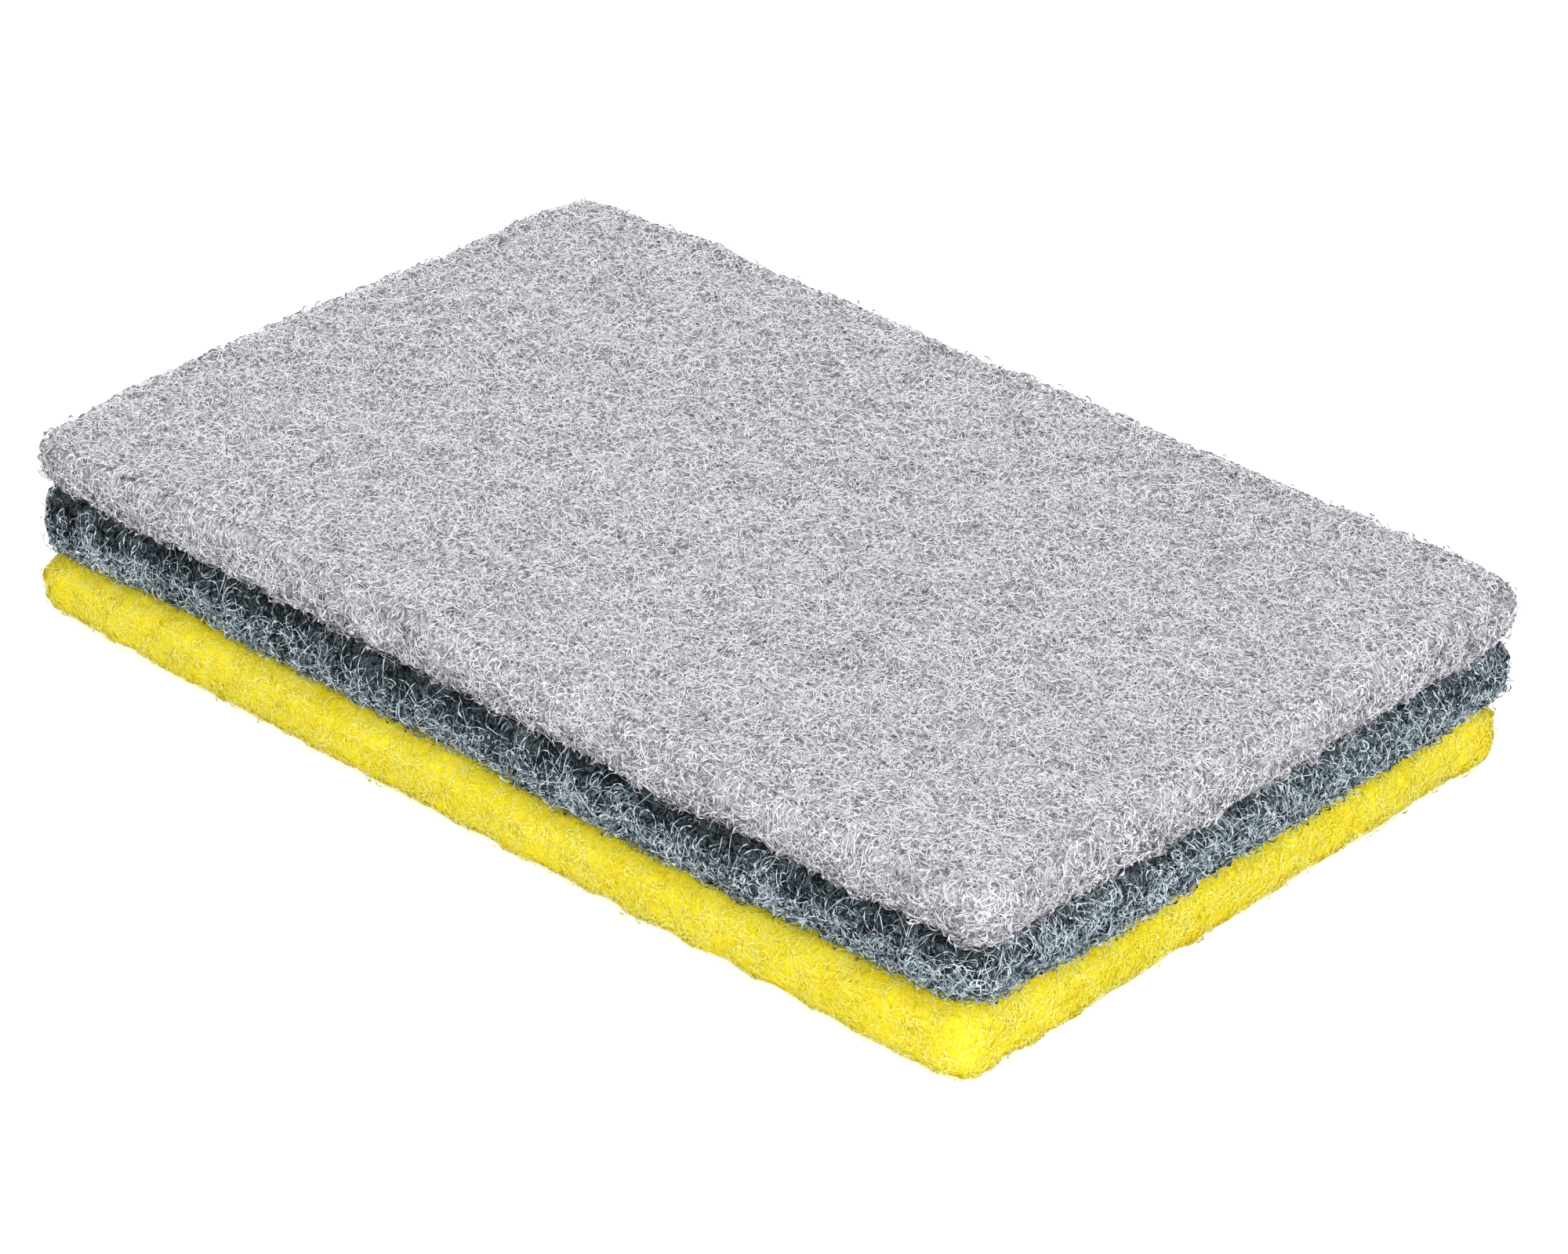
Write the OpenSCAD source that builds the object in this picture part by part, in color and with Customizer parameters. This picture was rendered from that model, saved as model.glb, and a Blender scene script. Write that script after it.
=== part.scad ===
// Cleaning sponge of three lofted fibre layers laid face to face, long axis on X, resting on Z = 0.

/* [Size] */

// Length of the block, mm
pad_l = 152; // [110:1:220]
// Width of the block, mm
pad_w = 100; // [70:1:150]
// Thickness of the pale grey layer on top
grey_t = 7.8; // [5.5:0.1:14]
// Thickness of the slate layer in the middle
slate_t = 8.5; // [5.5:0.5:16]
// Thickness of the yellow layer underneath
yellow_t = 8.5; // [5.5:0.5:16]

/* [Cut] */

// Corner radius of the grey layer in plan
grey_corner = 1.8; // [1.2:0.1:12]
// Corner radius of the slate layer in plan
slate_corner = 2.4; // [1.2:0.1:12]
// Corner radius of the yellow layer in plan
yellow_corner = 3; // [1.2:0.1:12]
// How much narrower the grey layer was cut than the block
grey_narrow = 0.8; // [0:0.1:5]
// How much narrower the slate layer was cut than the block
slate_narrow = 0.8; // [0:0.1:5]
// How much shorter the yellow layer was cut than the block
yellow_short = 1; // [0:0.1:4]
// How far the slate layer sits back from the front, as laid up
slate_back = 0.6; // [0:0.1:2]
// How far the yellow layer sits to the left, as laid up
yellow_left = 0.5; // [0:0.1:2]

// How far the far left corner is drawn in, which rounds it most
far_corner_in = 1.8; // [0:0.1:3]
// How far the near left corner is drawn in
left_corner_in = 1.6; // [0:0.1:3]

/* [Loft] */

// Height of the rounding where a layer's cut edge turns in to a seam
edge_round = 3.2; // [1:0.1:4]
// Depth of the notch between the grey and slate layers
high_notch = 3; // [1.5:0.1:4.5]
// Depth of the notch between the slate and yellow layers
low_notch = 3.9; // [1.5:0.1:4.5]
// Rounding of the open face's edge, the crispest of them
open_round = 1.6; // [1:0.1:3.2]
// Rounding of the yellow layer's resting edge, flattened by its own weight
rest_round = 2.6; // [1:0.1:3.2]
// Depth of the waves along a cut edge, to either side
edge_wave = 0.6; // [0:0.1:1.2]
// Rise and fall of the seams where they come out at the edge
seam_wave = 0.5; // [0:0.1:0.8]
// How far the lower seam climbs at the front corner, where the slate layer is thinnest
front_lift = 1.4; // [0:0.1:1.8]
// How far it drops at the left corner, where the yellow layer is thinnest
left_drop = 1; // [0:0.1:1.4]
// How far the open face falls at that corner, where the grey layer is thinnest
left_droop = 2; // [0:0.1:3]
// Height of the soft hummocks on the open grey face
hummock = 0.4; // [0:0.05:0.8]
// Distance from one hummock to the next
hummock_pitch = 20; // [16:1:40]

/* [Hidden] */

// Spacing of the points along a cut edge, the stretch a corner takes up, and the steps that turn it
rim_pitch = 4.15;
corner_zone = 5;
steps_c = 3;
steps_l = 2 * steps_c + round((pad_l - 2 * corner_zone) / rim_pitch);
steps_w = 2 * steps_c + round((pad_w - 2 * corner_zone) / rim_pitch);
ring = 2 * (steps_l + steps_w);
// Steps in each rounded edge
arc_steps = 3;
// Width over which a seam levels out from its wavy rim to its flat middle
seam_ease = 9;

// Heights of the two seams and of the open face
seam_low = yellow_t;
seam_high = yellow_t + slate_t;
block_t = yellow_t + slate_t + grey_t;
// A rounded edge takes at most this share of its layer's thickness at each point of the rim
round_share = 0.42;
function round_at(size, z0, z1, k) = min(size, round_share * (z1[k] - z0[k]));

// A layer's cut rectangle, as its low corner and its high corner
function cut_box(l, w, dx, dy) = [[dx - l / 2, dy - w / 2], [dx + l / 2, dy + w / 2]];
function shrink(b, d) = [b[0] + [d, d], b[1] - [d, d]];
function overlap(a, b) = [
    [max(a[0][0], b[0][0]), max(a[0][1], b[0][1])],
    [min(a[1][0], b[1][0]), min(a[1][1], b[1][1])]
];

grey_box = cut_box(pad_l, pad_w - grey_narrow, 0, slate_back / 2);
slate_box = cut_box(pad_l, pad_w - slate_narrow, 0, slate_back);
yellow_box = cut_box(pad_l - yellow_short, pad_w, -yellow_left, 0);

// The patches where layer meets layer, the patch that rests, and the open face
low_patch = shrink(overlap(slate_box, yellow_box), low_notch);
high_patch = shrink(overlap(grey_box, slate_box), high_notch);
rest_patch = shrink(yellow_box, rest_round);
open_patch = shrink(grey_box, open_round);
patch_corner = 2.5;

// One coordinate of a grid line, with the first and last steps kept for the corners
function line(i, n, lo, hi, r) =
    i <= steps_c ? lo + r * i / steps_c
    : i >= n - steps_c ? hi - r * (n - i) / steps_c
    : lo + r + (hi - lo - 2 * r) * (i - steps_c) / (n - 2 * steps_c);

// How far into the corner square a coordinate is, from 0 to 1, with its sign
function into(v, lo, hi, r) = v < lo + r ? (v - lo - r) / r : v > hi - r ? (v - hi + r) / r : 0;

// A point with the two left corners drawn in towards the middle
drawn_reach = 14;
function share_near(c, p, reach) = pow(max(0, 1 - norm(p - c) / reach), 1.5);
function drawn_in(p) =
    p
    + far_corner_in * share_near([-pad_l, pad_w] / 2, p, drawn_reach) * [1, -1] / norm([1, -1])
    + left_corner_in * share_near([-pad_l, -pad_w] / 2, p, drawn_reach) * [1, 1] / norm([1, 1]);

// Point i, j of a grid that fills a rectangle with round corners
function place(b, r, i, j) =
    let (
        x = line(i, steps_l, b[0][0], b[1][0], r),
        y = line(j, steps_w, b[0][1], b[1][1], r),
        a = into(x, b[0][0], b[1][0], r),
        c = into(y, b[0][1], b[1][1], r),
        h = norm([a, c]),
        s = h > 0 ? max(abs(a), abs(c)) / h : 1
    )
    drawn_in([x - a * r * (1 - s), y - c * r * (1 - s)]);

// Place of rim point k on the grid, counted round from the low corner
function rim_i(k) =
    k <= steps_l ? k
    : k <= steps_l + steps_w ? steps_l
    : k <= 2 * steps_l + steps_w ? 2 * steps_l + steps_w - k
    : 0;
function rim_j(k) =
    k <= steps_l ? 0
    : k <= steps_l + steps_w ? k - steps_l
    : k <= 2 * steps_l + steps_w ? steps_w
    : ring - k;
function rim(b, r, k) = place(b, r, rim_i(k), rim_j(k));

// Outward direction at rim point k
function outward(b, r, k) =
    let (
        x = line(rim_i(k), steps_l, b[0][0], b[1][0], r),
        y = line(rim_j(k), steps_w, b[0][1], b[1][1], r),
        d = [into(x, b[0][0], b[1][0], r), into(y, b[0][1], b[1][1], r)]
    )
    d / norm(d);

// Waves round the rim, within -1 to 1, that close on themselves
function ripple(t, seed) =
    0.3 * sin(360 * 5 * t + 71 * seed)
    + 0.28 * sin(360 * 12 * t + 133 * seed + 40)
    + 0.24 * sin(360 * 21 * t + 47 * seed + 200)
    + 0.18 * sin(360 * 33 * t + 211 * seed);

// Rise of the open face at a point, within -1 to 1: four waves that cross at different slants
function swell(p) =
    let (u = 360 * p[0] / hummock_pitch, v = 360 * p[1] / hummock_pitch)
    0.3 * sin(0.7 * u + 0.43 * v)
    + 0.28 * sin(0.95 * v - 0.38 * u + 50)
    + 0.22 * sin(1.18 * u - 0.87 * v + 110)
    + 0.2 * sin(0.54 * u + 1.33 * v + 200);

// Height of the open face at a point, and how far in from the left corner its fall is felt
droop_reach = 28;
function open_face(p) =
    block_t + hummock * swell(p) - left_droop * share_near(open_patch[0], p, droop_reach);

// How far along the rim a corner's lift or drop of the lower seam is felt
corner_reach = 22;

// Height of each seam at rim point k
function low_seam(k) =
    seam_low + seam_wave * ripple(k / ring, 4)
    + front_lift
        * share_near([low_patch[1][0], low_patch[0][1]], rim(low_patch, patch_corner, k), corner_reach)
    - left_drop * share_near(low_patch[0], rim(low_patch, patch_corner, k), corner_reach);
function high_seam(k) = seam_high + seam_wave * ripple(k / ring, 9);

// Rim of a layer at its widest, waves included, a little different from ring to ring
function edge_at(b, r, seed, k, level) =
    let (w = 0.75 * ripple(k / ring, seed) + 0.25 * ripple(k / ring + 0.013 * level, seed + 6))
    rim(b, r, k) + edge_wave * w * outward(b, r, k);

// Rings of one layer from its lower patch out round the edge to its upper patch
function lower_arc(b, r, seed, patch, z0, z1, size) = [
    for (n = [1 : arc_steps], k = [0 : ring - 1])
        let (
            f = 90 * n / arc_steps,
            p = rim(patch, patch_corner, k),
            q = edge_at(b, r, seed, k, n) - p,
            g = p + q * sin(f)
        )
        [g[0], g[1], z0[k] + round_at(size, z0, z1, k) * (1 - cos(f))]
];
function upper_arc(b, r, seed, patch, z0, z1, size) = [
    for (n = [0 : arc_steps - 1], k = [0 : ring - 1])
        let (
            f = 90 * n / arc_steps,
            p = rim(patch, patch_corner, k),
            q = edge_at(b, r, seed, k, n + arc_steps + 1) - p,
            g = p + q * cos(f)
        )
        [g[0], g[1], z1[k] - round_at(size, z0, z1, k) * (1 - sin(f))]
];
function rim_ring(patch, z) = [
    for (k = [0 : ring - 1]) let (p = rim(patch, patch_corner, k)) [p[0], p[1], z[k]]
];
function level_ring(patch, z) = rim_ring(shrink(patch, seam_ease), [for (k = [0 : ring - 1]) z]);

// Triangles of the band between ring a and ring b. Two layers that meet split their seam along the
// same lines, so the band that closes a top face leans the other way from the one that opens a lower face.
function band(a, b, closing = false) = [
    for (k = [0 : ring - 1], half = [0, 1])
        let (n = (k + 1) % ring)
        closing
            ? (half == 0 ? [a + k, b + k, b + n] : [a + k, b + n, a + n])
            : (half == 0 ? [a + k, b + k, a + n] : [a + n, b + k, b + n])
];
function disc_up(a) = [[for (k = [0 : ring - 1]) a + ring - 1 - k]];
function disc_down(a) = [[for (k = [0 : ring - 1]) a + k]];

// Heights of a flat patch at every rim point
function level(z) = [for (k = [0 : ring - 1]) z];
low_z = [for (k = [0 : ring - 1]) low_seam(k)];
high_z = [for (k = [0 : ring - 1]) high_seam(k)];

// A layer between two seams or a seam and the table: rings 0 to sides + 3, counted upward
sides = 2 * arc_steps;
module seamed_layer(b, r, seed, patch0, z0, mid0, round0, patch1, z1, mid1) {
    points = concat(
        level_ring(patch0, mid0),
        rim_ring(patch0, z0),
        lower_arc(b, r, seed, patch0, z0, z1, round0),
        upper_arc(b, r, seed, patch1, z0, z1, edge_round),
        rim_ring(patch1, z1),
        level_ring(patch1, mid1)
    );
    last = sides + 3;
    faces = concat(
        disc_down(0),
        [for (n = [0 : last - 1]) each band(n * ring, (n + 1) * ring, n == last - 1)],
        disc_up(last * ring)
    );
    polyhedron(points = points, faces = faces, convexity = 4);
}

// The open face as a full grid, whose outermost points are those of the rim
open_z = [for (k = [0 : ring - 1]) open_face(rim(open_patch, patch_corner, k))];
function rim_index(i, j) =
    j == 0 ? i
    : i == steps_l ? steps_l + j
    : j == steps_w ? 2 * steps_l + steps_w - i
    : ring - j;
function grid_index(i, j, top, inside) =
    i == 0 || i == steps_l || j == 0 || j == steps_w
        ? top + rim_index(i, j)
        : inside + (j - 1) * (steps_l - 1) + i - 1;

module open_layer(b, r, seed, patch0, z0, mid0) {
    inner = [
        for (j = [1 : steps_w - 1], i = [1 : steps_l - 1])
            let (p = place(open_patch, patch_corner, i, j))
            [p[0], p[1], open_face(p)]
    ];
    points = concat(
        level_ring(patch0, mid0),
        rim_ring(patch0, z0),
        lower_arc(b, r, seed, patch0, z0, open_z, edge_round),
        upper_arc(b, r, seed, open_patch, z0, open_z, open_round),
        rim_ring(open_patch, open_z),
        inner
    );
    top = (sides + 2) * ring;
    inside = top + ring;
    faces = concat(
        disc_down(0),
        [for (n = [0 : sides + 1]) each band(n * ring, (n + 1) * ring)],
        [
            for (j = [0 : steps_w - 1], i = [0 : steps_l - 1], half = [0, 1])
                let (
                    p = grid_index(i, j, top, inside),
                    q = grid_index(i + 1, j, top, inside),
                    s = grid_index(i + 1, j + 1, top, inside),
                    t = grid_index(i, j + 1, top, inside)
                )
                half == 0 ? [p, s, q] : [p, t, s]
        ]
    );
    polyhedron(points = points, faces = faces, convexity = 4);
}

// Middle of the whole block in plan, so that the block stands centred on the origin
widest = concat(
    [for (k = [0 : ring - 1], n = [arc_steps, arc_steps + 1]) edge_at(grey_box, grey_corner, 1, k, n)],
    [for (k = [0 : ring - 1], n = [arc_steps, arc_steps + 1]) edge_at(slate_box, slate_corner, 2, k, n)],
    [for (k = [0 : ring - 1], n = [arc_steps, arc_steps + 1]) edge_at(yellow_box, yellow_corner, 3, k, n)]
);
wide_x = [for (p = widest) p[0]];
wide_y = [for (p = widest) p[1]];
middle = [(min(wide_x) + max(wide_x)) / 2, (min(wide_y) + max(wide_y)) / 2, 0];

module grey_scrub_layer() {
    color([0.76, 0.76, 0.78])
        translate(-middle)
            open_layer(grey_box, grey_corner, 1, high_patch, high_z, seam_high);
}

module slate_scrub_layer() {
    color([0.4, 0.43, 0.46])
        translate(-middle)
            seamed_layer(
                slate_box, slate_corner, 2,
                low_patch, low_z, seam_low, edge_round,
                high_patch, high_z, seam_high
            );
}

module yellow_scrub_layer() {
    color([0.94, 0.88, 0.2])
        translate(-middle)
            seamed_layer(
                yellow_box, yellow_corner, 3,
                rest_patch, level(0), 0, rest_round,
                low_patch, low_z, seam_low
            );
}

grey_scrub_layer();
slate_scrub_layer();
yellow_scrub_layer();
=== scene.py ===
# Cleaning sponge: the looks of three lofted fibre layers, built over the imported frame.
# Each layer gets a web core, read from its CAD node by rays, and curled fibres laid over that core.
import math

import bpy
import numpy as np
from mathutils import Matrix, Vector
from mathutils.bvhtree import BVHTree


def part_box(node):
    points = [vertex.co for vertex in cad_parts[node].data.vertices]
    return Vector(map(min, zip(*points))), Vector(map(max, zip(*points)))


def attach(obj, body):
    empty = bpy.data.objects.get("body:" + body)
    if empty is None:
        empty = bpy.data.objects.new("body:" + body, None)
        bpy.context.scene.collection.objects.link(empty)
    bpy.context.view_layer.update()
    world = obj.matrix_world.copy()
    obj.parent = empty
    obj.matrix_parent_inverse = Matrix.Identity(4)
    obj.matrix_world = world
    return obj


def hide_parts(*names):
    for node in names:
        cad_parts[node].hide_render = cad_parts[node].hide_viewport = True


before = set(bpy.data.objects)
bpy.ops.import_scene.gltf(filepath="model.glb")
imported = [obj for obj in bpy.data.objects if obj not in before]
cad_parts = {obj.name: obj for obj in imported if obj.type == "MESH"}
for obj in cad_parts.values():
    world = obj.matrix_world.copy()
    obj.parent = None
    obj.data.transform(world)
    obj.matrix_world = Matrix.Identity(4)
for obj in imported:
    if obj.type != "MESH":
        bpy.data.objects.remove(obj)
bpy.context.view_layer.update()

MM = 0.001

# Camera, solved from the outline of the three layers in the photo's frame, which is 2000 wide
PHOTO_WIDTH = 2000
CAMERA_AZIMUTH = 40.663
CAMERA_ELEVATION = 29.241
CAMERA_ROLL = 2.430
FOCAL_PIXELS = 6630.8
CAMERA_DISTANCE = 629.76 * MM
CAMERA_ASIDE = 3.582 * MM
CAMERA_RAISED = 6.773 * MM
CAMERA_CLIP = (0.01, 20)
SENSOR = 36.0

# Core grid: spacing of the points, how far inside the cut edge the face begins, and its corner
CORE_PITCH = 1.5 * MM
FACE_INSET = 4.4 * MM
FACE_CORNER = 1.5 * MM
CORNER_STEPS = 4
PROFILE_RAYS = 61
PROFILE_STEPS = 26
# The profiles are smoothed round the rim by this many steps
PROFILE_SMOOTHING = 1.3
# Rays that find a face start this far off it
RAY_START = 5 * MM
# A hidden face levels out this far in from the start of the face
CAP_INSET = 10 * MM
# The fibres of the open face reach out over its rounded edge
FIBRE_INSET = 1.8 * MM
FIBRE_CORNER = 4 * MM
# The core lies a little below the CAD surface, so that the mat of fibres on it ends up there. The
# yellow web is closer, with a thinner mat.
CORE_SUNK = 0.5 * MM
CLOSE_SUNK = 0.25 * MM
# Least steps of a skin, because fibres are moved along it by dividing by them
LEAST_STEP_U = 0.12 * MM
LEAST_STEP_V = 0.08 * MM

# Chance waves: how many are added up, the spread of their numbers, and a factor that keeps the sum
# within about -1 to 1
WAVES = 22
WAVE_SPREAD = (0.65, 1.45)
WAVE_HEIGHT = 0.8
# Soft lumps of the web: height and length of each size, in mm
LUMP_SIZES = ((0.10, 11), (0.14, 4.5), (0.12, 2.2))
# Along a profile, from -1 below to 1 above: the share at its ends over which the lumps fade out, and
# where the ragged hang of the lower edge begins, the share over which it grows, and its length
LUMP_FADE = 0.22
HANG_START = 0.3
HANG_GROWTH = 0.6
HANG_LENGTH = 6.5 * MM

# Fibres: each a narrow strip with a point at every step
STEPS = 9
STEP = 0.5 * MM
FIBRE_WIDTH = 0.07 * MM
# Radius of the curls, how far single fibres differ from it, and the turn and twist at each step
CURL = 1.9 * MM
CURL_SPREAD = 0.5
SHARPEST_TURN = 0.7
TURN_SPREAD = (0.6, 1.4)
TWIST = 0.6
# Share of its rise that a fibre lying quite flat loses at each step
DAMPING = 0.4
# Height of the mat, of the thinner one on the yellow web, and how much higher loose fibres may rise
MAT = 0.75 * MM
CLOSE_MAT = 0.3 * MM
LOOSE_RISE = 0.5 * MM
# Fibres of the sides, and the fringe that hangs from a layer's lower edge: its height and its rows
SIDE_WIDTH = 0.055 * MM
FRINGE = 1.1 * MM
FRINGE_ROWS = (4, 10)
# Strips: spread of their widths, drift of their roll, and a nudge for those that start straight outward
WIDTH_SPREAD = (0.75, 1.3)
ROLL_DRIFT = 0.4
NUDGE = 0.02
# Fibres below this height in the mat are up to this share wider, and close the view to the core
DEEP = 0.6 * MAT
DEEP_WIDER = 0.4
# Clumps with more fibres: their size, the mean weight, its swing and its limits
THICK_SIZE = 3.2 * MM
THICK_MEAN = 0.75
THICK_SWING = 0.4
THICK_LIMITS = (0.2, 1.5)
# Clumps with darker fibres: their size, and how much height and clump count against chance. Height
# counts as painted shade: deeper fibres take darker tones.
DARK_SIZE = 5 * MM
HEIGHT_SHADE_COUNTS = 1.1
CLUMP_COUNTS = 0.8
# Painted shade under the layer above, darker fibre colours towards the upper edge: the share of the edge
# where it begins, over which it grows, and the least of it on sides turned away from the long one in view
SHADE_START = 0.48
SHADE_GROWTH = 0.2
LEAST_SHADE = 0.15
# Height that the lowest fibres keep above the floor
BASE_CLEARANCE = 0.02 * MM


# Waves of about one length in every direction
def lumps(points, wavelength, seed):
    rng = np.random.default_rng(seed)
    directions = rng.normal(size=(WAVES, 3))
    directions /= np.linalg.norm(directions, axis=1, keepdims=True)
    numbers = 2 * math.pi / wavelength * rng.uniform(*WAVE_SPREAD, size=(WAVES, 1))
    phases = rng.uniform(0, 2 * math.pi, size=WAVES)
    flat = points.reshape(-1, 3)
    total = np.sin(flat @ (directions * numbers).T + phases).sum(axis=1)
    return (total / math.sqrt(WAVES) * WAVE_HEIGHT).reshape(points.shape[:-1])


def node_surface(name):
    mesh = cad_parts[name].data
    corners = [tuple(v.co) for v in mesh.vertices]
    return BVHTree.FromPolygons(corners, [tuple(p.vertices) for p in mesh.polygons])


# Where a ray meets the surface, or the nearest point of it to the ray's start
def hit(tree, origin, direction):
    place, _, _, _ = tree.ray_cast(Vector(origin), Vector(direction))
    return tree.find_nearest(Vector(origin))[0] if place is None else place


# Coordinates of the grid lines across a side, with the first and last steps turning the corner
def grid_line(count, low, high, radius):
    turn = radius * np.arange(CORNER_STEPS) / CORNER_STEPS
    straight = np.linspace(low + radius, high - radius, count - 2 * CORNER_STEPS + 1)
    return np.concatenate([low + turn, straight, (high - turn)[::-1]])


# A grid that fills a rectangle with round corners, and the outward direction over its corners
def rounded_grid(low, high, radius, steps):
    xs = grid_line(steps[0], low[0], high[0], radius)
    ys = grid_line(steps[1], low[1], high[1], radius)
    x, y = np.meshgrid(xs, ys, indexing="ij")

    def into(v, a, b):
        return np.minimum((v - a - radius) / radius, 0) + np.maximum((v - b + radius) / radius, 0)

    a, c = into(x, low[0], high[0]), into(y, low[1], high[1])
    length = np.hypot(a, c)
    safe = np.where(length > 1e-9, length, 1)
    shrink = np.where(length > 1e-9, np.maximum(abs(a), abs(c)) / safe, 1)
    points = np.stack([x - a * radius * (1 - shrink), y - c * radius * (1 - shrink)], axis=-1)
    return points, np.stack([a, c], axis=-1) / safe[..., None]


# Grid indices of the rim, walked round from the low corner
def rim_indices(steps):
    nx, ny = steps
    i = np.concatenate([np.arange(nx), np.full(ny, nx), np.arange(nx, 0, -1), np.zeros(ny, int)])
    j = np.concatenate([np.zeros(nx, int), np.arange(ny), np.full(nx, ny), np.arange(ny, 0, -1)])
    return i, j


def smooth_round(table, sigma):
    frequency = np.fft.fftfreq(table.shape[0])
    keep = np.exp(-2 * (math.pi * sigma * frequency) ** 2)
    shape = (-1,) + (1,) * (table.ndim - 1)
    return np.real(np.fft.ifft(np.fft.fft(table, axis=0) * keep.reshape(shape), axis=0))


def unit(vectors):
    return vectors / np.maximum(np.linalg.norm(vectors, axis=-1, keepdims=True), 1e-12)


# A surface as a table of points and outward normals over two coordinates, u and v, in steps
class Skin:
    def __init__(self, points, normals, closed):
        self.points, self.normals, self.closed = points, normals, closed
        along_u = np.linalg.norm(
            np.roll(points, -1, 0) - np.roll(points, 1, 0) if closed else np.gradient(points, axis=0) * 2,
            axis=-1,
        )
        self.step_u = np.maximum(along_u / 2, LEAST_STEP_U)
        along_v = np.linalg.norm(np.gradient(points, axis=1), axis=-1)
        self.step_v = np.maximum(along_v, LEAST_STEP_V)

    def read(self, table, u, v):
        nu, nv = table.shape[:2]
        if self.closed:
            u = np.mod(u, nu)
        else:
            u = np.clip(u, 0, nu - 1.001)
        v = np.clip(v, 0, nv - 1.001)
        i, j = np.floor(u).astype(int), np.floor(v).astype(int)
        a, b = u - i, v - j
        i2 = (i + 1) % nu if self.closed else i + 1
        if table.ndim == 3:
            a, b = a[:, None], b[:, None]
        near = table[i, j] * (1 - a) + table[i2, j] * a
        far = table[i, j + 1] * (1 - a) + table[i2, j + 1] * a
        return near * (1 - b) + far * b


# Soft lumps of an open web, in metres
def relief(points, seed):
    sizes = enumerate(LUMP_SIZES, start=1)
    return MM * sum(height * lumps(points, length * MM, seed + n) for n, (height, length) in sizes)


# One layer: its cut edge as a skin, from the lower face round to the upper, and grids of those faces
class Layer:
    def __init__(self, name, seed, ragged, sunk, open_top):
        self.name, self.seed, self.sunk = name, seed, sunk
        self.low, self.high = (np.array(c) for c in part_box(name))
        self.tree = node_surface(name)
        self.steps, self.grid, outward = self.lay_grid(FACE_INSET, FACE_CORNER)
        self.rim = rim_indices(self.steps)
        around = self.cast_edge(self.grid[self.rim], unit(outward[self.rim]))
        along = np.roll(around, -1, 0) - np.roll(around, 1, 0)
        normals = unit(np.cross(along, np.gradient(around, axis=1)))
        # The faces at either end of the profile keep their height, apart from an open one
        v = np.linspace(-1, 1, PROFILE_STEPS)
        free = np.clip((1 - abs(v)) / LUMP_FADE, 0, 1)
        if open_top:
            free = np.where(v > 0, 1, free)
        lower = np.clip((HANG_START - v) / HANG_GROWTH, 0, 1)
        hang = ragged * lower * lumps(around, HANG_LENGTH, seed + 4)
        swell = relief(around, seed) + hang
        around = around + normals * (free * swell - sunk)[..., None]
        around[..., 2] = np.maximum(around[..., 2], BASE_CLEARANCE)
        self.edge = Skin(around, normals, closed=True)

    def lay_grid(self, inset, corner):
        low, high = self.low[:2] + inset, self.high[:2] - inset
        steps = [int(round(s / CORE_PITCH)) + 2 * CORNER_STEPS for s in high - low]
        return steps, *rounded_grid(low, high, corner, steps)

    # Profiles of the edge: rays from inside the layer, from straight down to straight up
    def cast_edge(self, rim, facing):
        middle = (self.low[2] + self.high[2]) / 2
        angles = np.radians(np.linspace(-90, 90, PROFILE_RAYS))
        reach = np.zeros((len(rim), PROFILE_RAYS))
        for k, (point, normal) in enumerate(zip(rim, facing)):
            origin = Vector((point[0], point[1], middle))
            for n, angle in enumerate(angles):
                c = math.cos(angle)
                place = hit(self.tree, origin, (normal[0] * c, normal[1] * c, math.sin(angle)))
                reach[k, n] = (place - origin).length
        reach = smooth_round(reach, PROFILE_SMOOTHING)
        out = np.empty((len(rim), PROFILE_STEPS, 3))
        for k in range(len(rim)):
            aside, rise = np.cos(angles) * reach[k], np.sin(angles) * reach[k]
            run = np.concatenate([[0], np.cumsum(np.hypot(np.diff(aside), np.diff(rise)))])
            at = np.linspace(0, run[-1], PROFILE_STEPS)
            out[k, :, :2] = rim[k] + np.interp(at, run, aside)[:, None] * facing[k]
            out[k, :, 2] = middle + np.interp(at, run, rise)
        return out

    # Points of the upper or lower surface under a grid
    def drop(self, grid, side):
        start = self.high[2] + RAY_START if side > 0 else self.low[2] - RAY_START
        flat = grid.reshape(-1, 2)
        z = np.array([hit(self.tree, (x, y, start), (0, 0, -side))[2] for x, y in flat])
        return np.concatenate([flat, z[:, None] - side * self.sunk], axis=1).reshape(*grid.shape[:-1], 3)

    # The open upper face, with its lumps, over any grid
    def open_face(self, grid):
        points = self.drop(grid, 1)
        points[..., 2] += relief(points, self.seed)
        return points

    # The skin on which the fibres of a face are laid
    def face_skin(self, side):
        steps, grid, _ = self.lay_grid(FIBRE_INSET if side > 0 else FACE_INSET, FIBRE_CORNER)
        points = self.open_face(grid) if side > 0 else self.drop(grid, side)
        normals = unit(np.cross(np.gradient(points, axis=0), np.gradient(points, axis=1))) * side
        return Skin(points, normals, closed=False)


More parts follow.
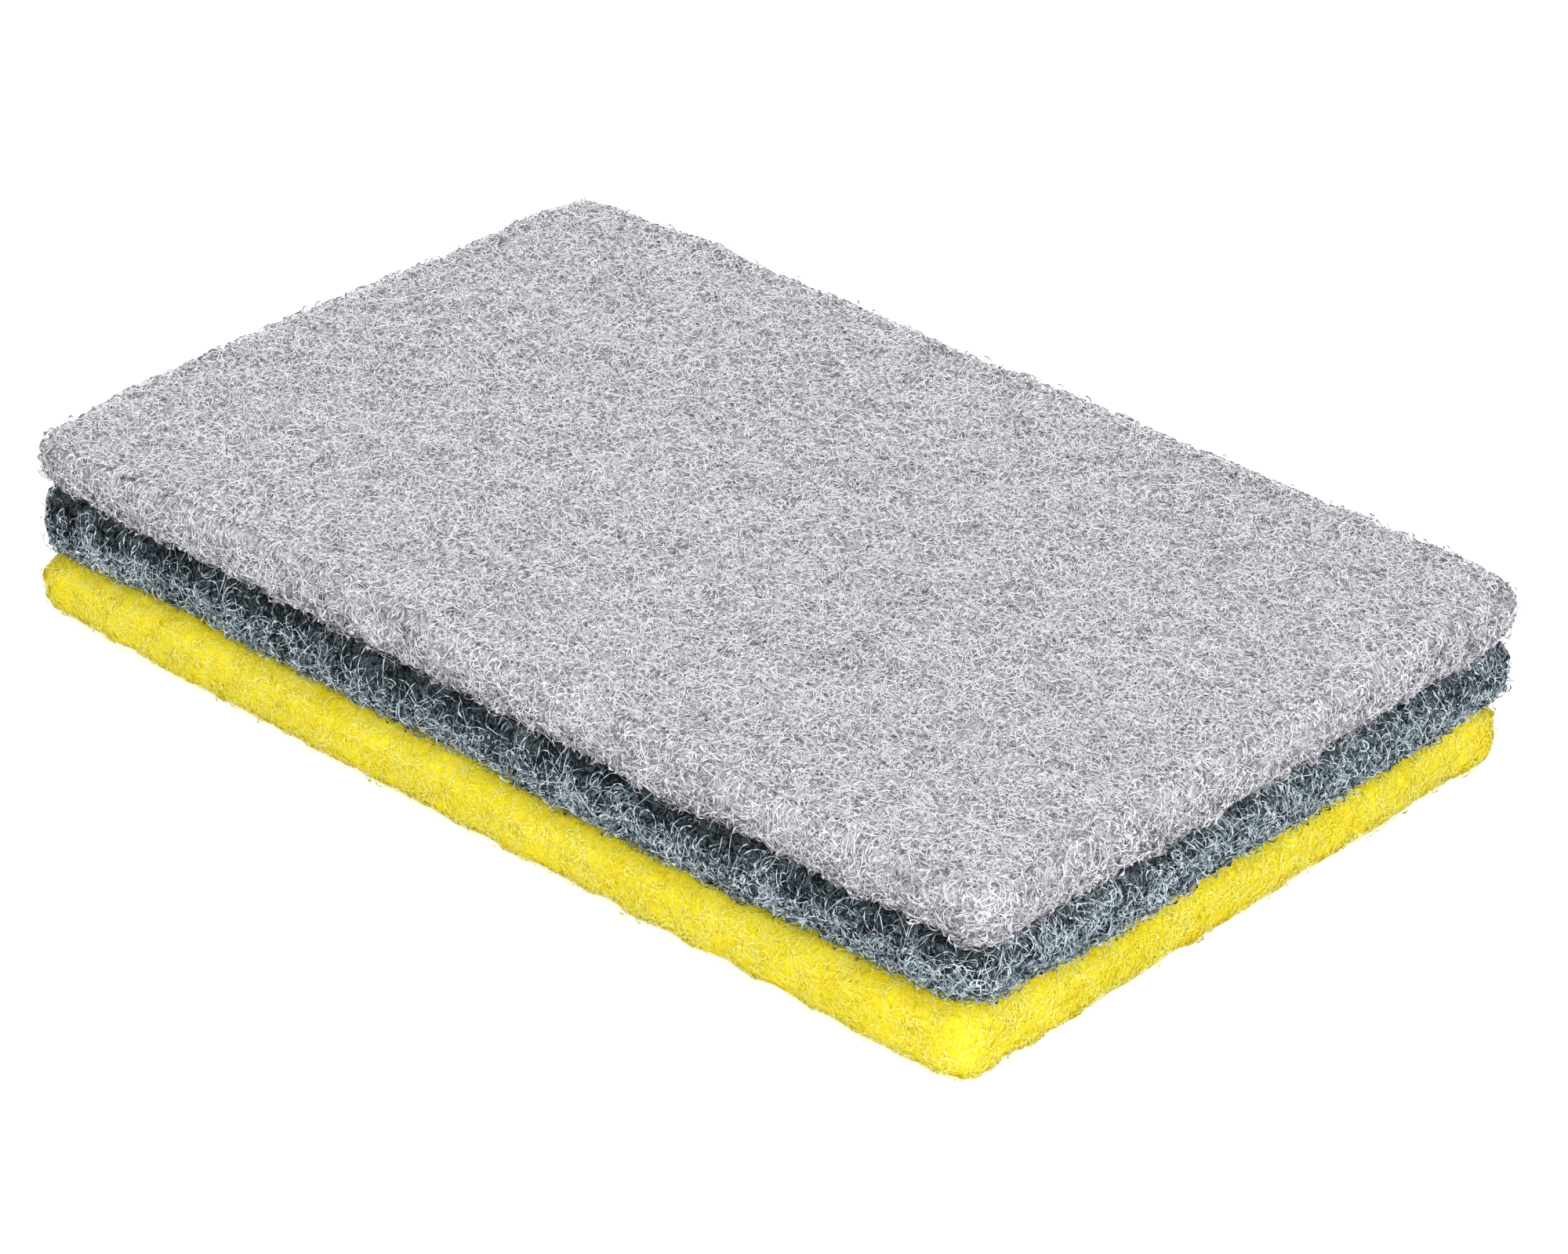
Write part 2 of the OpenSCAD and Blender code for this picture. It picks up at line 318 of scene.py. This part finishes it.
# A mesh from its corners, its faces as tables of three or four corners each, and caps of any number
def add_mesh(name, corners, faces, caps=()):
    mesh = bpy.data.meshes.new(name)
    loops = np.concatenate([f.ravel() for f in faces] + list(caps)).astype(np.int32)
    totals = np.concatenate([np.full(len(f), f.shape[1]) for f in faces] + [[len(c)] for c in caps])
    mesh.vertices.add(len(corners))
    mesh.vertices.foreach_set("co", np.asarray(corners, dtype=np.float32).ravel())
    mesh.loops.add(len(loops))
    mesh.loops.foreach_set("vertex_index", loops)
    mesh.polygons.add(len(totals))
    mesh.polygons.foreach_set("loop_start", (np.cumsum(totals) - totals).astype(np.int32))
    mesh.polygons.foreach_set("loop_total", totals.astype(np.int32))
    mesh.update(calc_edges=True)
    mesh.validate()
    smooth = np.ones(len(totals), dtype=bool)
    smooth[len(totals) - len(caps):] = False
    mesh.polygons.foreach_set("use_smooth", smooth)
    piece = bpy.data.objects.new(name, mesh)
    bpy.context.scene.collection.objects.link(piece)
    return piece


# The core of a layer as one closed skin: its edge all round, and each face as a grid or a level cap
def build_core(layer, name, open_top):
    edge = layer.edge.points
    rim, rows = edge.shape[:2]
    corners, quads, caps = [edge.reshape(-1, 3)], [], []
    k, r = np.meshgrid(np.arange(rim), np.arange(rows - 1), indexing="ij")
    n = (k + 1) % rim
    edge_quads = np.stack([k * rows + r, n * rows + r, n * rows + r + 1, k * rows + r + 1], axis=-1)
    quads.append(edge_quads.reshape(-1, 4))
    count = rim * rows
    for side, row in ((-1, 0), (1, rows - 1)):
        ring = np.arange(rim) * rows + row
        if side > 0 and open_top:
            points = layer.open_face(layer.grid)
            index = np.full(points.shape[:2], -1)
            index[layer.rim] = ring
            inner = index < 0
            index[inner] = count + np.arange(inner.sum())
            corners.append(points[inner])
            count += int(inner.sum())
            around = (index[:-1, :-1], index[1:, :-1], index[1:, 1:], index[:-1, 1:])
            quads.append(np.stack(around, axis=-1).reshape(-1, 4))
            continue
        low = layer.low[:2] + FACE_INSET + CAP_INSET
        high = layer.high[:2] - FACE_INSET - CAP_INSET
        inner_grid, _ = rounded_grid(low, high, FACE_CORNER, layer.steps)
        corners.append(layer.drop(inner_grid[layer.rim], side))
        inner_ring = count + np.arange(rim)
        count += rim
        band = np.stack([ring, np.roll(ring, -1), np.roll(inner_ring, -1), inner_ring], axis=-1)
        quads.append(band if side > 0 else band[:, ::-1])
        caps.append(inner_ring if side > 0 else inner_ring[::-1])
    return add_mesh(name, np.concatenate(corners), quads, caps)


# Curled fibres that wander through the mat on a skin, in every direction. A direction has parts along
# u, along v and outward. Returns the points, the outward directions there and each fibre's mean height.
def grow(skin, seeds, rng, rows, loose_share, lying, mat):
    count = len(seeds)
    u, v = seeds[:, 0].copy(), seeds[:, 1].copy()
    h = rng.uniform(0, mat, count)
    top = np.where(rng.random(count) < loose_share, mat + LOOSE_RISE, mat)
    way = unit(rng.normal(size=(count, 3)) * np.array([1, 1, 1 - lying]))
    bend = rng.normal(size=(count, 3))
    bend = unit(bend - (bend * way).sum(axis=1, keepdims=True) * way)
    angle = np.minimum(STEP / (CURL * np.exp(rng.normal(0, CURL_SPREAD, count))), SHARPEST_TURN)
    points, normals = np.empty((count, STEPS + 1, 3)), np.empty((count, STEPS + 1, 3))
    heights = np.zeros(count)
    for s in range(STEPS + 1):
        normal = unit(skin.read(skin.normals, u, v))
        points[:, s] = skin.read(skin.points, u, v) + normal * h[:, None]
        normals[:, s] = normal
        heights += h / (STEPS + 1)
        u = u + way[:, 0] * STEP / skin.read(skin.step_u, u, v)
        v = v + way[:, 1] * STEP / skin.read(skin.step_v, u, v)
        h = h + way[:, 2] * STEP
        # A fibre that leaves the mat or the skin turns back
        way[:, 2] = np.where(h > top, -abs(way[:, 2]), np.where(h < 0, abs(way[:, 2]), way[:, 2]))
        h = np.clip(h, 0, top)
        way[:, 1] = np.where(v < rows[0], abs(way[:, 1]), np.where(v > rows[1], -abs(way[:, 1]), way[:, 1]))
        v = np.clip(v, *rows)
        if not skin.closed:
            far = skin.points.shape[0] - 1
            way[:, 0] = np.where(u < 0, abs(way[:, 0]), np.where(u > far, -abs(way[:, 0]), way[:, 0]))
            u = np.clip(u, 0, far)
        # Bend, with a random twist of the bend's own direction
        bend = unit(bend - (bend * way).sum(axis=1, keepdims=True) * way)
        twist = rng.normal(0, TWIST, (count, 1))
        bend = bend * np.cos(twist) + np.cross(way, bend) * np.sin(twist)
        turn = (angle * rng.uniform(*TURN_SPREAD, count))[:, None]
        way, bend = way * np.cos(turn) + bend * np.sin(turn), bend * np.cos(turn) - way * np.sin(turn)
        way = unit(way * np.array([1, 1, 1 - DAMPING * lying**2]))
    return points, normals, heights


# Strips along the given lines, turned outward with a random roll, and held flat to the skin as far as
# flat says. Their points lie left and right in turn. Light passes into such thin fibres, so they are
# shaded with the outward direction of the web and only a part of their own, given by own_share.
def build_fibres(name, lines, normals, widths, roll, flat, own_share, tones, materials, rng, floor=None):
    count, stations = lines.shape[:2]
    along = unit(np.gradient(lines, axis=1))
    across = np.empty_like(lines)
    side = unit(np.cross(along[:, 0], normals[:, 0]) + NUDGE * rng.normal(size=(count, 3)))
    for n in range(stations):
        side = unit(side - (side * along[:, n]).sum(axis=1, keepdims=True) * along[:, n])
        level = np.cross(along[:, n], normals[:, n])
        facing = np.where((level * side).sum(axis=1, keepdims=True) < 0, -1, 1)
        side = unit(side + flat * facing * level)
        across[:, n] = side
    other = np.cross(along, across)
    start = rng.uniform(-1, 1, (count, 1))
    drift = rng.uniform(-ROLL_DRIFT, ROLL_DRIFT, (count, 1)) * np.linspace(-1, 1, stations)
    roll = roll * (start + drift)
    spread = rng.uniform(*WIDTH_SPREAD, (count, 1))
    half = 0.5 * widths[:, None] * spread * np.where(np.arange(stations) % 2, 1, -1)
    half[:, [0, -1]] = 0
    turned = across * np.cos(roll)[..., None] + other * np.sin(roll)[..., None]
    corners = lines + turned * half[..., None]
    own = unit(np.cross(turned, along))
    own = own * np.where((own * normals).sum(axis=-1, keepdims=True) < 0, -1, 1)
    shading = unit(normals * (1 - own_share) + own * own_share)
    if floor is not None:
        corners[..., 2] = np.maximum(corners[..., 2], floor)
    first = np.arange(count)[:, None] * stations + np.arange(stations - 2)[None, :]
    triangles = np.stack([first, first + 1, first + 2], axis=-1).reshape(-1, 3)
    corners, shading = corners.reshape(-1, 3), shading.reshape(-1, 3)
    a, b, c = (corners[triangles[:, n]] for n in range(3))
    inward = (np.cross(b - a, c - a) * shading[triangles[:, 1]]).sum(axis=1) < 0
    triangles[inward] = triangles[inward][:, ::-1]
    piece = add_mesh(name, corners, [triangles])
    piece.data.normals_split_custom_set_from_vertices(shading)
    for material in materials:
        piece.data.materials.append(material)
    piece.data.polygons.foreach_set("material_index", np.repeat(tones, stations - 2).astype(np.int32))
    return piece


# A tone for each fibre, from the darkest to the palest: the deeper ones are darker, as painted shade in the
# mat, and so are some clumps. A bias, which carries painted shade, moves single fibres up or down in that
# order.
def choose_tones(lines, heights, rng, shares, seed, shade_bias):
    clump = lumps(lines[:, lines.shape[1] // 2], DARK_SIZE, seed)
    level = (heights - heights.mean()) / (heights.std() + 1e-9)
    score = rng.normal(0, 1, len(lines)) + HEIGHT_SHADE_COUNTS * level + CLUMP_COUNTS * clump + shade_bias
    order = np.argsort(np.argsort(score)) / len(score)
    return np.searchsorted(np.cumsum(shares)[:-1], order)


# Materials
# Fibres: roughness and specular level of the grey ones, of the dark slate ones and of the others
MATT = (0.75, 0.15)
DULL = (0.8, 0.12)
SHEEN = (0.6, 0.35)

# Web between the fibres: roughness, specular level and depth of its bumps
WEB_FINISH = (0.8, 0.2)
BUMP_DEPTH = 0.25 * MM
# Noises that draw it: their scale per metre, and as parts of it those of strands, pits and clumps
WEB_SCALE = 1900
STRAND_SIZES = (1.0, 1.3, 0.85, 1.6)
PIT_SIZE = 0.45
CLUMP_SIZE = 0.14
# A strand lies within the first of these distances of a level line, and has faded out by the second
STRAND_EDGE = (0.022, 0.055)
# Noise levels between which a pit turns into ground, and an open clump into a close one
PIT_EDGE = (0.34, 0.55)
CLUMP_EDGE = (0.3, 0.7)
# How strong the strands are in the colour, and how high strands and ground stand in the bumps
STRAND_COLOUR = 0.9
STRAND_RISE = 0.6
GROUND_RISE = 0.8


def shader(material):
    material.use_nodes = True
    return material.node_tree.nodes["Principled BSDF"]


def set_finish(bsdf, roughness, specular):
    bsdf.inputs["Roughness"].default_value = roughness
    bsdf.inputs["Specular IOR Level"].default_value = specular


def plain(name, colour, finish):
    material = bpy.data.materials.new(name)
    bsdf = shader(material)
    bsdf.inputs["Base Color"].default_value = (*colour, 1)
    set_finish(bsdf, *finish)
    return material


# The web seen between the fibres: curls drawn as the level lines of several noises, over a clumped
# ground with pits. The dark ground and the darker pits are painted shade of the depths of the mat.
def web(name, shaded_pit, shaded_ground, curl, bump=0.5):
    material = bpy.data.materials.new(name)
    bsdf = shader(material)
    nodes, links = material.node_tree.nodes, material.node_tree.links
    place = nodes.new("ShaderNodeTexCoord").outputs["Object"]

    def noise(size, detail, w):
        node = nodes.new("ShaderNodeTexNoise")
        node.noise_dimensions = "4D"
        node.inputs["Scale"].default_value = size
        node.inputs["Detail"].default_value = detail
        node.inputs["Roughness"].default_value = 0.5
        node.inputs["W"].default_value = w
        links.new(place, node.inputs["Vector"])
        return node.outputs["Fac"]

    def math_node(operation, first, second=None):
        node = nodes.new("ShaderNodeMath")
        node.operation = operation
        for socket, value in zip(node.inputs, (first, second)):
            if value is None:
                continue
            if isinstance(value, (int, float)):
                socket.default_value = value
            else:
                links.new(value, socket)
        return node.outputs[0]

    def ramp(value, low, high, start=0.0, end=1.0):
        node = nodes.new("ShaderNodeMapRange")
        node.inputs["From Min"].default_value = low
        node.inputs["From Max"].default_value = high
        node.inputs["To Min"].default_value = start
        node.inputs["To Max"].default_value = end
        links.new(value, node.inputs["Value"])
        return node.outputs["Result"]

    def mix(factor, first, second):
        node = nodes.new("ShaderNodeMix")
        node.data_type = "RGBA"
        links.new(factor, node.inputs["Factor"])
        for socket, value in ((node.inputs[6], first), (node.inputs[7], second)):
            if isinstance(value, tuple):
                socket.default_value = (*value, 1)
            else:
                links.new(value, socket)
        return node.outputs[2]

    strands = None
    for n, size in enumerate(STRAND_SIZES):
        centred = math_node("SUBTRACT", noise(WEB_SCALE * size, detail=0.0, w=3.7 * n), 0.5)
        strand = ramp(math_node("ABSOLUTE", centred), *STRAND_EDGE, 1.0, 0.0)
        strands = strand if strands is None else math_node("MAXIMUM", strands, strand)
    pits = ramp(noise(WEB_SCALE * PIT_SIZE, detail=1.5, w=21.0), *PIT_EDGE)
    clumps = ramp(noise(WEB_SCALE * CLUMP_SIZE, detail=2.0, w=33.0), *CLUMP_EDGE)
    # Pits darken the ground: painted shade
    lower = mix(pits, shaded_pit, shaded_ground)
    tinted = mix(clumps, lower, shaded_ground)
    colour = mix(math_node("MULTIPLY", strands, STRAND_COLOUR), tinted, curl)
    links.new(colour, bsdf.inputs["Base Color"])
    set_finish(bsdf, *WEB_FINISH)
    raised_strands = math_node("MULTIPLY", strands, STRAND_RISE)
    raised_ground = math_node("MULTIPLY", pits, GROUND_RISE)
    bumps = nodes.new("ShaderNodeBump")
    bumps.inputs["Strength"].default_value = bump
    bumps.inputs["Distance"].default_value = BUMP_DEPTH
    links.new(math_node("ADD", raised_strands, raised_ground), bumps.inputs["Height"])
    links.new(bumps.outputs["Normal"], bsdf.inputs["Normal"])
    return material


# Colours of the fibres, from the darkest to the palest, and the share of each. The greys are a little
# bluish.
GREY_LEVELS = (0.29, 0.64, 0.89, 0.94)
GREY_TINT = (1, 0.995, 1.05)
GREY_TONES = [
    plain(f"grey_fibre_{n}", [level * part for part in GREY_TINT], MATT)
    for n, level in enumerate(GREY_LEVELS)
]
SLATE_TONES = [
    plain("slate_fibre_0", (0.005, 0.007, 0.009), DULL),
    plain("slate_fibre_1", (0.060, 0.084, 0.105), DULL),
    plain("slate_fibre_2", (0.32, 0.405, 0.465), SHEEN),
    plain("slate_fibre_3", (0.70, 0.80, 0.86), SHEEN),
]
YELLOW_TONES = [
    plain("yellow_fibre_0", (0.84, 0.62, 0.010), SHEEN),
    plain("yellow_fibre_1", (0.97, 0.83, 0.020), SHEEN),
    plain("yellow_fibre_2", (0.98, 0.87, 0.030), SHEEN),
    plain("yellow_fibre_3", (0.98, 0.93, 0.18), SHEEN),
]
GREY_SHARES = (0.10, 0.10, 0.23, 0.57)
# The grey's sides take a darker mix of tones than its top: painted shade
GREY_EDGE_SHADED_SHARES = (0.19, 0.28, 0.28, 0.25)
SLATE_SHARES = (0.20, 0.16, 0.30, 0.34)
YELLOW_SHARES = (0.14, 0.27, 0.31, 0.28)
# The web itself: its pits and its ground, both painted shade of the mat's depths, and its strands
GREY_WEB = web("grey_web", (0.06, 0.06, 0.065), (0.31, 0.31, 0.325), (0.80, 0.80, 0.83))
SLATE_WEB = web("slate_web", (0.002, 0.003, 0.004), (0.008, 0.011, 0.014), (0.13, 0.165, 0.19))
YELLOW_WEB = web("yellow_web", (0.92, 0.74, 0.012), (0.97, 0.82, 0.018), (0.98, 0.88, 0.04), bump=0.15)


# Seeds spread as thick everywhere over a skin, thicker in the clumps, fading out near its upper rows
def scatter(skin, count, rng, rows, seed, fade=0.0):
    area = skin.step_u * skin.step_v
    row = np.arange(area.shape[1])
    weight = area * ((row >= rows[0]) & (row <= rows[1]))
    clump = lumps(skin.points, THICK_SIZE, seed)
    weight = weight * np.clip(THICK_MEAN + THICK_SWING * clump, *THICK_LIMITS)
    if fade:
        weight = weight * np.clip((rows[1] - row) / fade, 0, 1)
    cell = rng.choice(area.size, size=count, p=(weight / weight.sum()).ravel())
    u, v = np.divmod(cell, area.shape[1])
    top = np.inf if skin.closed else area.shape[0] - 1
    u = np.clip(u + rng.random(count) - 0.5, -1 if skin.closed else 0, top)
    return np.stack([u, np.clip(v + rng.random(count) - 0.5, *rows)], axis=-1)


def finish_piece(piece):
    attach(piece, "root")


# One piece of fibres on a skin, as many as its budget of triangles allows
def lay_fibres(
    name, skin, tones, shares, budget, seed, rows, loose,
    width=FIBRE_WIDTH, roll=0.5, flat=0.4, own_share=0.4, lying=0.3, mat=MAT, fade=0.0, shade=0.0,
    floor=None,
):
    rng = np.random.default_rng(seed)
    seeds = scatter(skin, budget // (STEPS - 1), rng, rows, seed + 9, fade)
    lines, normals, heights = grow(skin, seeds, rng, rows, loose, lying, mat)
    # Painted shade: darker colours towards the upper edge, under the layer above, most on the long side in
    # view
    up = seeds[:, 1] / skin.points.shape[1]
    shade_bias = -shade * np.clip((up - SHADE_START) / SHADE_GROWTH, 0, 1)
    shade_bias = shade_bias * np.clip(-unit(normals[:, 0, :2])[:, 1], LEAST_SHADE, 1)
    chosen = choose_tones(lines, heights, rng, shares, seed + 7, shade_bias)
    widths = width * (1 + DEEP_WIDER * np.clip(1 - heights / DEEP, 0, 1))
    piece = build_fibres(
        name, lines, normals, widths, roll, flat, own_share, chosen, tones, rng, floor,
    )
    finish_piece(piece)


grey = Layer("grey_scrub_layer", seed=11, ragged=0.28 * MM, sunk=CORE_SUNK, open_top=True)
slate = Layer("slate_scrub_layer", seed=22, ragged=0.12 * MM, sunk=CORE_SUNK, open_top=False)
yellow = Layer("yellow_scrub_layer", seed=33, ragged=0.12 * MM, sunk=CLOSE_SUNK, open_top=False)

for layer, name, material, slot in (
    (grey, "grey_core", GREY_WEB, "grey_web"),
    (slate, "slate_core", SLATE_WEB, "slate_web"),
    (yellow, "yellow_core", YELLOW_WEB, "yellow_web"),
):
    core = build_core(layer, name, layer is grey)
    core.data.materials.append(material)
    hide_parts(layer.name)
    finish_piece(core)

# The fibres of an edge keep off its first and last rows. The next layer hides those, or the fibres of
# the open face cover them.
last_row = PROFILE_STEPS - 1
edge_rows = (2, last_row - 2)
grey_top = grey.face_skin(1)
all_rows = (0, grey_top.points.shape[1] - 1)
for n in (1, 2):
    lay_fibres(
        f"grey_face_fibres_{n}", grey_top, GREY_TONES, GREY_SHARES, budget=198000,
        seed=100 + n, rows=all_rows, loose=0.04, lying=0.5,
    )
lay_fibres(
    "grey_edge_fibres", grey.edge, GREY_TONES, GREY_EDGE_SHADED_SHARES, budget=142000,
    seed=110, rows=edge_rows, loose=0.08, lying=0.4, fade=6,
)
lay_fibres(
    "grey_fringe", grey.edge, GREY_TONES, GREY_EDGE_SHADED_SHARES, budget=16000,
    seed=111, rows=FRINGE_ROWS, loose=0.3, lying=0, mat=FRINGE,
)
lay_fibres(
    "slate_edge_fibres", slate.edge, SLATE_TONES, SLATE_SHARES, budget=156000,
    seed=120, rows=edge_rows, loose=0.08, width=SIDE_WIDTH, fade=8, shade=3.2,
)
lay_fibres(
    "slate_fringe", slate.edge, SLATE_TONES, SLATE_SHARES, budget=24000,
    seed=121, rows=FRINGE_ROWS, loose=0.3, width=SIDE_WIDTH, lying=0, mat=FRINGE,
)
lay_fibres(
    "yellow_edge_fibres", yellow.edge, YELLOW_TONES, YELLOW_SHARES, budget=160000,
    seed=130, rows=(6, last_row - 2), loose=0.10, width=SIDE_WIDTH, roll=0.1, flat=3, own_share=0.05,
    lying=1, mat=CLOSE_MAT, floor=BASE_CLEARANCE,
)
base = yellow.face_skin(-1)
lay_fibres(
    "yellow_base_fibres", base, YELLOW_TONES, YELLOW_SHARES, budget=25000,
    seed=140, rows=(0, base.points.shape[1] - 1), loose=0, lying=0.9, mat=CLOSE_SUNK - BASE_CLEARANCE,
    floor=BASE_CLEARANCE,
)


# Camera
def place_camera():
    a, e, r = (math.radians(x) for x in (CAMERA_AZIMUTH, CAMERA_ELEVATION, CAMERA_ROLL))
    back = Vector((math.sin(a) * math.cos(e), -math.cos(a) * math.cos(e), math.sin(e)))
    level = (-back).cross(Vector((0, 0, 1))).normalized()
    rise = level.cross(-back)
    right = level * math.cos(r) + rise * math.sin(r)
    up = rise * math.cos(r) - level * math.sin(r)
    data = bpy.data.cameras.new("camera")
    data.sensor_fit = "HORIZONTAL"
    data.sensor_width = SENSOR
    data.lens = FOCAL_PIXELS / PHOTO_WIDTH * SENSOR
    data.clip_start, data.clip_end = CAMERA_CLIP
    camera = bpy.data.objects.new("camera", data)
    bpy.context.scene.collection.objects.link(camera)
    turn = Matrix((right, up, back)).transposed().to_4x4()
    spot = back * CAMERA_DISTANCE + right * CAMERA_ASIDE + up * CAMERA_RAISED
    camera.matrix_world = Matrix.Translation(spot) @ turn
    bpy.context.scene.camera = camera


place_camera()


# Light: a soft box overhead, the main one a little to the camera's right, one behind, and a pale room
def soft_box(name, place, size, power):
    data = bpy.data.lights.new(name, "AREA")
    data.shape, data.size, data.energy = "SQUARE", size, power
    lamp = bpy.data.objects.new(name, data)
    bpy.context.scene.collection.objects.link(lamp)
    lamp.location = Vector(place)
    lamp.rotation_euler = (Vector((0, 0, 0)) - lamp.location).to_track_quat("-Z", "Y").to_euler()


soft_box("overhead", place=(-0.1, 0.0, 0.9), size=0.7, power=1.6)
soft_box("behind", place=(-0.84, 0.72, 0.45), size=0.8, power=6.0)
soft_box("front", place=(0.84, -0.72, 0.48), size=1.1, power=13.0)


# 1 for the rays that show the room itself: those of the camera, of gloss and of glass
def seen_rays(nodes, links):
    path = nodes.new("ShaderNodeLightPath")
    either, every = nodes.new("ShaderNodeMath"), nodes.new("ShaderNodeMath")
    either.operation = every.operation = "MAXIMUM"
    links.new(path.outputs["Is Camera Ray"], either.inputs[0])
    links.new(path.outputs["Is Glossy Ray"], either.inputs[1])
    links.new(either.outputs[0], every.inputs[0])
    links.new(path.outputs["Is Transmission Ray"], every.inputs[1])
    return every.outputs[0]


# The room gives half the light that it shows, and shows plain white
ROOM_LIGHT = 0.5
ROOM_SEEN = 1.0
world = bpy.data.worlds.new("studio")
bpy.context.scene.world = world
world.use_nodes = True
wn, wl = world.node_tree.nodes, world.node_tree.links
strength = wn.new("ShaderNodeMapRange")
strength.inputs["To Min"].default_value = ROOM_LIGHT
strength.inputs["To Max"].default_value = ROOM_SEEN
wl.new(seen_rays(wn, wl), strength.inputs["Value"])
wn["Background"].inputs["Color"].default_value = (1, 1, 1, 1)
wl.new(strength.outputs["Result"], wn["Background"].inputs["Strength"])

# Floor: white to the camera away from the object, and it keeps the object's shadow
FLOOR_HALF = 3.0
FLOOR_COLOUR = (0.88, 0.88, 0.88, 1)
FLOOR_SEEN_COLOUR = (0.80, 0.80, 0.80, 1)
FLOOR_GLOW = 0.60
FLOOR_FINISH = (0.9, 0.0)
bpy.ops.mesh.primitive_plane_add(size=2 * FLOOR_HALF, location=(0, 0, 0))
floor = bpy.context.object
floor.name = "floor"
floor_material = bpy.data.materials.new("floor")
floor_shader = shader(floor_material)
floor_shader.inputs["Base Color"].default_value = FLOOR_COLOUR
set_finish(floor_shader, *FLOOR_FINISH)
fn, fl = floor_material.node_tree.nodes, floor_material.node_tree.links
seen_floor = fn.new("ShaderNodeBsdfDiffuse")
seen_floor.inputs["Color"].default_value = FLOOR_SEEN_COLOUR
glow = fn.new("ShaderNodeEmission")
glow.inputs["Strength"].default_value = FLOOR_GLOW
lit_floor = fn.new("ShaderNodeAddShader")
fl.new(seen_floor.outputs[0], lit_floor.inputs[0])
fl.new(glow.outputs[0], lit_floor.inputs[1])
by_ray = fn.new("ShaderNodeMixShader")
fl.new(seen_rays(fn, fl), by_ray.inputs[0])
fl.new(floor_shader.outputs[0], by_ray.inputs[1])
fl.new(lit_floor.outputs[0], by_ray.inputs[2])
fl.new(by_ray.outputs[0], fn["Material Output"].inputs["Surface"])
floor.data.materials.append(floor_material)

scene = bpy.context.scene
scene.view_settings.view_transform = "Standard"
